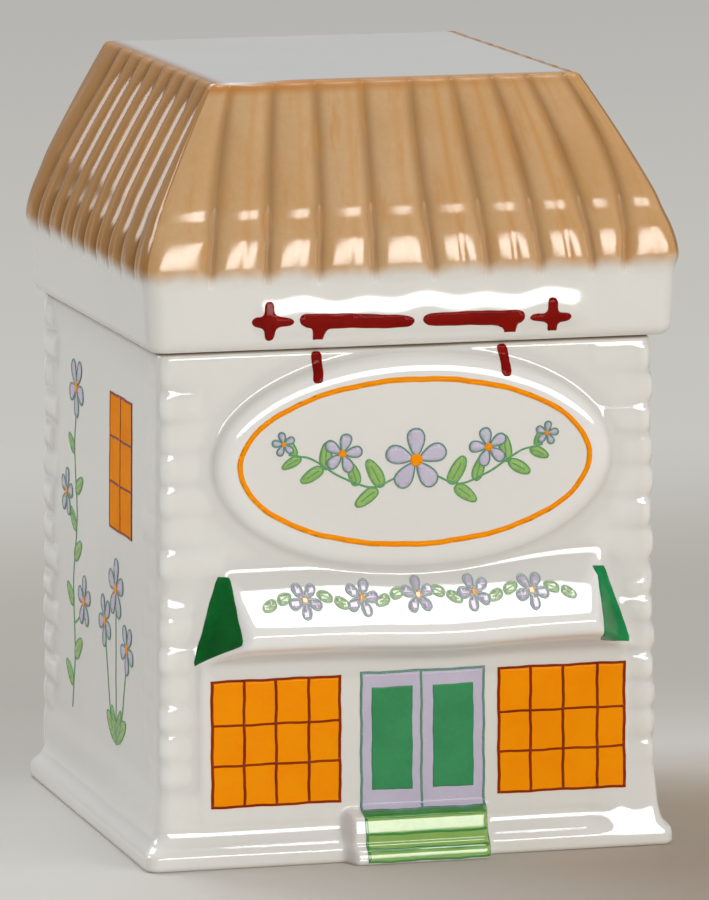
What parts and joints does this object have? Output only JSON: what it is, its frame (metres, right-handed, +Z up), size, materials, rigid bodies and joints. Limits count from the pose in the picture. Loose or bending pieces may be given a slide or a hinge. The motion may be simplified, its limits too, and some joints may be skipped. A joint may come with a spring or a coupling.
{
  "type": "spice jar",
  "caption": "Glazed porcelain spice jar shaped like a small corner shop, with a lift-off ribbed mansard roof as its lid.",
  "frame": {"origin": "under the middle of the bounding box, on the plane that the foot rests on", "axes": "+Z up through the lid; the shop front faces -Y; +X is to the right as one looks at the front"},
  "size_m": [0.062, 0.0652, 0.0878],
  "materials": {
    "white_porcelain": "glossy clear glaze over white porcelain",
    "tan_and_white_porcelain": "glossy glaze, tan on the ribbed roof and white on the band",
    "soft_seal": "soft translucent ring",
    "orange_enamel": "fired orange colour under gloss",
    "red_brown_enamel": "fired red-brown line",
    "red_enamel": "fired dark red colour",
    "green_enamel": "fired deep green colour",
    "door_green_enamel": "fired mid green colour",
    "lilac_enamel": "fired pale lilac colour",
    "teal_enamel": "fired grey-green line",
    "light_green_enamel": "fired light green colour"
  },
  "bodies": {
    "jar": {"jar_body": "white_porcelain", "sign_ring": "orange_enamel", "door_leaves": "lilac_enamel", "door_outline": "teal_enamel", "door_panel_left": "door_green_enamel", "door_panel_right": "door_green_enamel", "door_steps_paint": "light_green_enamel", "shop_window_left": "orange_enamel", "shop_window_left_bars": "red_brown_enamel", "shop_window_right": "orange_enamel", "shop_window_right_bars": "red_brown_enamel", "awning_end_left": "green_enamel", "awning_end_right": "green_enamel", "hanger_post_left": "red_enamel", "hanger_post_right": "red_enamel", "side_window_left": "orange_enamel", "side_window_left_bars": "red_brown_enamel", "side_window_right": "orange_enamel", "side_window_right_bars": "red_brown_enamel"},
    "roof_lid": {"lid": "tan_and_white_porcelain", "lid_seal": "soft_seal", "hanger_bar_left": "red_enamel", "hanger_bar_right": "red_enamel", "hanger_cross_left": "red_enamel", "hanger_cross_right": "red_enamel"}
  },
  "joints": [
    {"name": "lid_lift", "type": "slide", "parent": "jar", "child": "roof_lid", "axis": [0, 0, 1], "range_m": [0, 0.02]}
  ]
}
